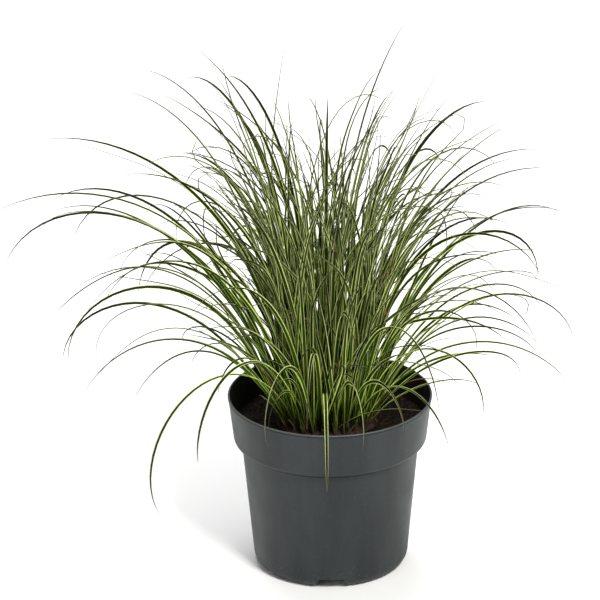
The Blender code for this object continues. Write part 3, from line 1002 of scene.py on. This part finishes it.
def leaf_section(width):
    """Folded section for each width: (across, over, share across, how far under) of its eight corners.
    The margins stand up on both sides of a groove, and a keel runs under it."""
    across = np.array([-0.5, -0.25, 0.0, 0.25, 0.5, 0.25, 0.0, -0.25])
    rise = np.array([1.0, 0.42, 0.0, 0.42, 1.0, 0.42, 0.0, 0.42])
    skin = np.array([0.0, 0.5, 0.5, 0.5, 0.0, -0.5, -0.9, -0.5])
    under = np.array([0.0, 0.0, 0.0, 0.0, 0.0, 1.0, 1.0, 1.0])
    thickness = LEAF_THICKNESS * np.clip(width / 3.0, 0.3, 1.0)
    over = LEAF_FOLD * width * rise + thickness * skin
    return width * across, over, across + 0.5, under


def tuft_mesh(name, habits, finish):
    """One mesh of a tuft's leaves: the folded section carried along each leaf's line. Its width is
    W * (1 - s ** fullness) ** LEAF_THINNING, drawn in towards the sheath over the first share of the
    leaf, and it never falls below a blunt tip's, which itself narrows at the very end."""
    points, tangent, side = leaf_lines(habits)
    leaves = len(habits)
    s = np.linspace(0, 1, LEAF_STATIONS)[None, :, None]
    width = habits[:, HABIT_COLUMNS.index("width")][:, None, None]
    fullness = habits[:, HABIT_COLUMNS.index("fullness")][:, None, None]
    spread = LEAF_FOOT_SHARE + (1 - LEAF_FOOT_SHARE) * np.clip(s / LEAF_SPREAD_BY, 0, 1)
    width = width * spread * (1 - s ** fullness) ** LEAF_THINNING
    width = np.maximum(width, LEAF_TIP_WIDTH * (1 - LEAF_TIP_TAPER * s ** LEAF_TIP_START))
    across, over, share, under = leaf_section(width)
    upper = np.cross(tangent, side)
    skin = points[:, :, None] + side[:, :, None] * across[..., None] + upper[:, :, None] * over[..., None]
    corners = skin.shape[2]
    obj = add_mesh(
        name, skin.reshape(-1, 3), tube_faces(leaves, LEAF_STATIONS, corners), finish, 75.0
    )
    shape = (leaves, LEAF_STATIONS, corners)
    store(obj, "place", np.stack([
        np.broadcast_to(share, shape), np.broadcast_to(s, shape), np.broadcast_to(under, shape)
    ], -1))
    kind = habits[:, -3:][:, None, None]
    store(obj, "kind", np.broadcast_to(kind, (*shape, 3)))
    lay_out(obj, leaves, corners)
    face_outwards(obj)
    return obj


def lay_out(obj, leaves, corners):
    """UV map with one upright strip for each leaf: its upper side on the left half and its underside on
    the right, foot at the bottom."""
    sides = leaves * (LEAF_STATIONS - 1) * corners
    quad = np.arange(sides)
    corner = quad % corners
    station = quad // corners % (LEAF_STATIONS - 1)
    leaf = quad // (corners * (LEAF_STATIONS - 1))
    low_x = np.array([0, 1, 2, 3, 3, 2, 1, 0])[corner] / 4
    high_x = np.array([1, 2, 3, 4, 4, 3, 2, 1])[corner] / 4
    start = np.where(corner < 4, low_x, high_x)
    end = np.where(corner < 4, high_x, low_x)
    strip = (leaf + np.where(corner < 4, 0.02, 0.52)) / leaves
    x = np.stack([start, end, end, start], -1) * 0.46 / leaves + strip[:, None]
    y = 0.015 + 0.97 * (station[:, None] + np.array([0, 0, 1, 1])) / (LEAF_STATIONS - 1)
    around = 2 * np.pi * np.arange(corners) / corners
    cap_x = (np.arange(leaves)[:, None] + 0.25 + 0.1 * np.cos(around)) / leaves
    cap_y = 0.006 + 0.004 * np.sin(around) + np.zeros_like(cap_x)
    caps = np.stack([cap_x, cap_y], -1)
    top_caps = np.stack([cap_x, 0.988 + cap_y], -1)
    places = np.concatenate([
        np.stack([x, y], -1).reshape(-1, 2), caps.reshape(-1, 2), top_caps.reshape(-1, 2)
    ])
    made = obj.data.uv_layers.new(name="OFBake")
    made.uv.foreach_set("vector", places.astype(np.float32).ravel())


def build_tufts(finish):
    """Every tuft, and the habits of the leaves that the sheaths wrap."""
    every = []
    for index, foot in enumerate(tuft_feet()):
        habits = settle(grow_tuft(index, foot))
        tuft = tuft_mesh(f"tuft_{index + 1:02d}", habits, finish)
        finish_piece(tuft, f"shoot_{index + 1:02d}")
        every.append(habits[:SHEATHS_PER_TUFT])
    loose = tuft_mesh("loose_leaves", loose_habits(), finish)
    finish_piece(loose)
    return np.concatenate(every)


# ---------------------------------------------------------------------------------------------------
# Crown
# ---------------------------------------------------------------------------------------------------

SHEATH_STATIONS = 5
SHEATH_CORNERS = 6
SHEATHS_PER_TUFT = 3
DEAD_STUBS = 70


def sheath_tubes(foot, tangent, height, radius, rng):
    """Tapering tubes from below the mix's surface along each leaf's first direction, a little bowed.
    Points are (tubes, stations, corners, 3)."""
    s = np.linspace(0, 1, SHEATH_STATIONS)[None, :, None, None]
    bow = rng.normal(0, 0.8, (len(foot), 1, 1, 3)) * np.array([1.0, 1.0, 0.0])
    turn = 2 * np.pi * np.arange(SHEATH_CORNERS) / SHEATH_CORNERS
    side = np.cross(tangent, [0.0, 0.0, 1.0]) + np.array([1e-3, 0.0, 0.0])
    side /= np.linalg.norm(side, axis=1)[:, None]
    other = np.cross(tangent, side)
    around = (
        side[:, None, None] * np.cos(turn)[None, None, :, None]
        + other[:, None, None] * np.sin(turn)[None, None, :, None]
    )
    middle = foot[:, None, None] + tangent[:, None, None] * height[:, None, None, None] * s
    middle = middle + bow * np.sin(np.pi * s)
    return middle + around * radius[:, None, None, None] * (1.0 - 0.62 * s ** 1.4)


def build_crown(habits, finish):
    """The crown: a lumpy mound with a few sheaths round the foot of every tuft, and dead stubs
    between."""
    rng = np.random.default_rng(RANDOM_SEED + 2)
    points, tangent, _ = leaf_lines(habits)
    foot = points[:, 1] - 9.0 * tangent[:, 0]
    foot[:, 2] = MIX_LEVEL - 1.0
    height = rng.uniform(9, 20, len(foot))
    radius = rng.uniform(1.1, 1.8, len(foot))
    live = sheath_tubes(foot, tangent[:, 0], height, radius, rng)
    bearing = rng.uniform(0, 2 * np.pi, DEAD_STUBS)
    reach = CROWN_RADIUS * np.sqrt(rng.uniform(0.02, 1.0, DEAD_STUBS))
    stub_foot = np.stack([
        CLUMP_CENTRE[0] + reach * np.cos(bearing), CLUMP_CENTRE[1] + reach * np.sin(bearing),
        np.full(DEAD_STUBS, MIX_LEVEL - 1.0),
    ], -1)
    aside = rng.normal(0, 0.42, (DEAD_STUBS, 2)) + 0.35 * np.stack([np.cos(bearing), np.sin(bearing)], -1)
    stub_way = np.concatenate([aside, np.ones((DEAD_STUBS, 1))], axis=1)
    stub_way /= np.linalg.norm(stub_way, axis=1)[:, None]
    dead = sheath_tubes(
        stub_foot, stub_way, rng.uniform(8, 26, DEAD_STUBS), rng.uniform(0.7, 1.6, DEAD_STUBS), rng
    )
    tubes = np.concatenate([live, dead])
    tube_points = tubes.reshape(-1, 3)
    faces = tube_faces(len(tubes), SHEATH_STATIONS, SHEATH_CORNERS)

    steps, rings = 72, 14
    around = 2 * np.pi * np.arange(steps) / steps
    out = (CROWN_RADIUS + 1.0) * np.linspace(0.04, 1.0, rings)[:, None]
    x = CLUMP_CENTRE[0] + out * np.cos(around)
    y = CLUMP_CENTRE[1] + out * np.sin(around)
    dome = CROWN_TOP + 0.6 - 4.2 * (out / CROWN_RADIUS) ** 6 + 0.9 * waves(x, y, 16.0, rng)
    top = np.stack([x, y, dome], -1)
    base = top[[0, -1]].copy()
    base[:, :, 2] = MIX_LEVEL - 2.5
    mound = np.concatenate([base, top[::-1]])
    offset = len(tube_points)
    faces += [[offset + v for v in face] for face in turned_faces(len(mound), steps)]
    crown = add_mesh(
        "crown_sheaths", np.concatenate([tube_points, mound.reshape(-1, 3)]), faces, finish, 60.0
    )
    shape = tubes.shape[:3]
    across = np.broadcast_to(np.abs(np.linspace(-1, 1, SHEATH_CORNERS, endpoint=False)), shape)
    along = np.broadcast_to(np.linspace(0, 1, SHEATH_STATIONS)[None, :, None], shape)
    dryness = np.where(np.arange(len(tubes)) < len(live), 0.0, 1.0)
    odds = dryness * 0.6 + rng.uniform(0, 0.5, len(tubes)) * np.where(dryness > 0, 0.8, 1.0)
    odds = np.broadcast_to(odds[:, None, None], shape)
    tube_place = np.stack([across, along, odds], -1).reshape(-1, 3)
    mound_place = np.broadcast_to([0.5, 0.04, 0.2], (mound.size // 3, 3))
    store(crown, "place", np.concatenate([tube_place, mound_place]))
    face_outwards(crown)
    finish_piece(crown, "crown")


# ---------------------------------------------------------------------------------------------------
# Studio
# ---------------------------------------------------------------------------------------------------

CAMERA_AIM = (-0.027, 0.0, 0.262)
CAMERA_DISTANCE = 4.5
CAMERA_ELEVATION = 23.25
CAMERA_ROLL = -0.5
VIEW_WIDTH = 0.5524
SENSOR = 36.0


def build_camera():
    lens = bpy.data.cameras.new("Studio camera")
    lens.sensor_width = SENSOR
    lens.lens = SENSOR * CAMERA_DISTANCE / VIEW_WIDTH
    camera = bpy.data.objects.new("Studio camera", lens)
    elevation = math.radians(CAMERA_ELEVATION)
    camera.location = (
        CAMERA_AIM[0],
        CAMERA_AIM[1] - CAMERA_DISTANCE * math.cos(elevation),
        CAMERA_AIM[2] + CAMERA_DISTANCE * math.sin(elevation),
    )
    level_view = Euler((math.radians(90) - elevation, 0.0, 0.0)).to_matrix()
    rolled = level_view @ Matrix.Rotation(math.radians(CAMERA_ROLL), 3, "Z")
    camera.rotation_euler = rolled.to_euler()
    bpy.context.scene.collection.objects.link(camera)
    bpy.context.scene.camera = camera


def add_soft_light(name, place, aim, size, power, colour=(1.0, 1.0, 1.0)):
    light = bpy.data.lights.new(name, "AREA")
    light.shape = "DISK"
    light.size = size
    light.energy = power
    light.color = colour
    obj = bpy.data.objects.new(name, light)
    obj.location = place
    direction = np.array(aim, float) - np.array(place, float)
    level = math.hypot(direction[0], direction[1])
    obj.rotation_euler = (
        math.atan2(level, -direction[2]), 0.0, math.atan2(direction[1], direction[0]) - math.pi / 2
    )
    bpy.context.scene.collection.objects.link(obj)


def build_studio():
    reach = 12.0
    corners = [(-reach, -reach, 0), (reach, -reach, 0), (reach, reach, 0), (-reach, reach, 0)]
    floor = add_mesh("studio_floor", np.array(corners) / MM, [(0, 1, 2, 3)], floor_finish())
    world = bpy.data.worlds.new("Studio")
    world.use_nodes = True
    background = world.node_tree.nodes["Background"]
    background.inputs["Color"].default_value = (1.0, 1.0, 1.0, 1.0)
    background.inputs["Strength"].default_value = 0.3
    bpy.context.scene.world = world
    bpy.context.scene.view_settings.view_transform = "Standard"
    centre = (0.0, 0.0, 0.25)
    add_soft_light("Key light", (1.0, -1.8, 2.5), centre, 0.9, 96.0, (1.0, 0.99, 0.96))
    add_soft_light("Top light", (-0.3, 0.9, 3.1), centre, 1.8, 84.0)
    add_soft_light("Fill light", (-2.0, -2.2, 0.9), centre, 1.4, 10.0)


def main():
    build_camera()
    grain = moulded_grain_group()
    stripes = leaf_stripes_group()
    build_pot(
        pot_finish("Grey plastic", grain, (0.0255, 0.0305, 0.0325), (0.031, 0.036, 0.0375), 0.42, False),
        # The inside wall's finish, darkened below the lip by painted shade, partly real staining.
        pot_finish("Grey plastic with painted inner shade", grain, (0.038, 0.041, 0.039), (0.026, 0.027, 0.025), 0.6, True),
    )
    build_mix(mix_finish("Potting mix", 0.0))
    build_crumbs(mix_finish("Loose mix", 0.5))
    habits = build_tufts(leaf_finish(stripes))
    build_crown(habits, sheath_finish(stripes))
    build_studio()


main()
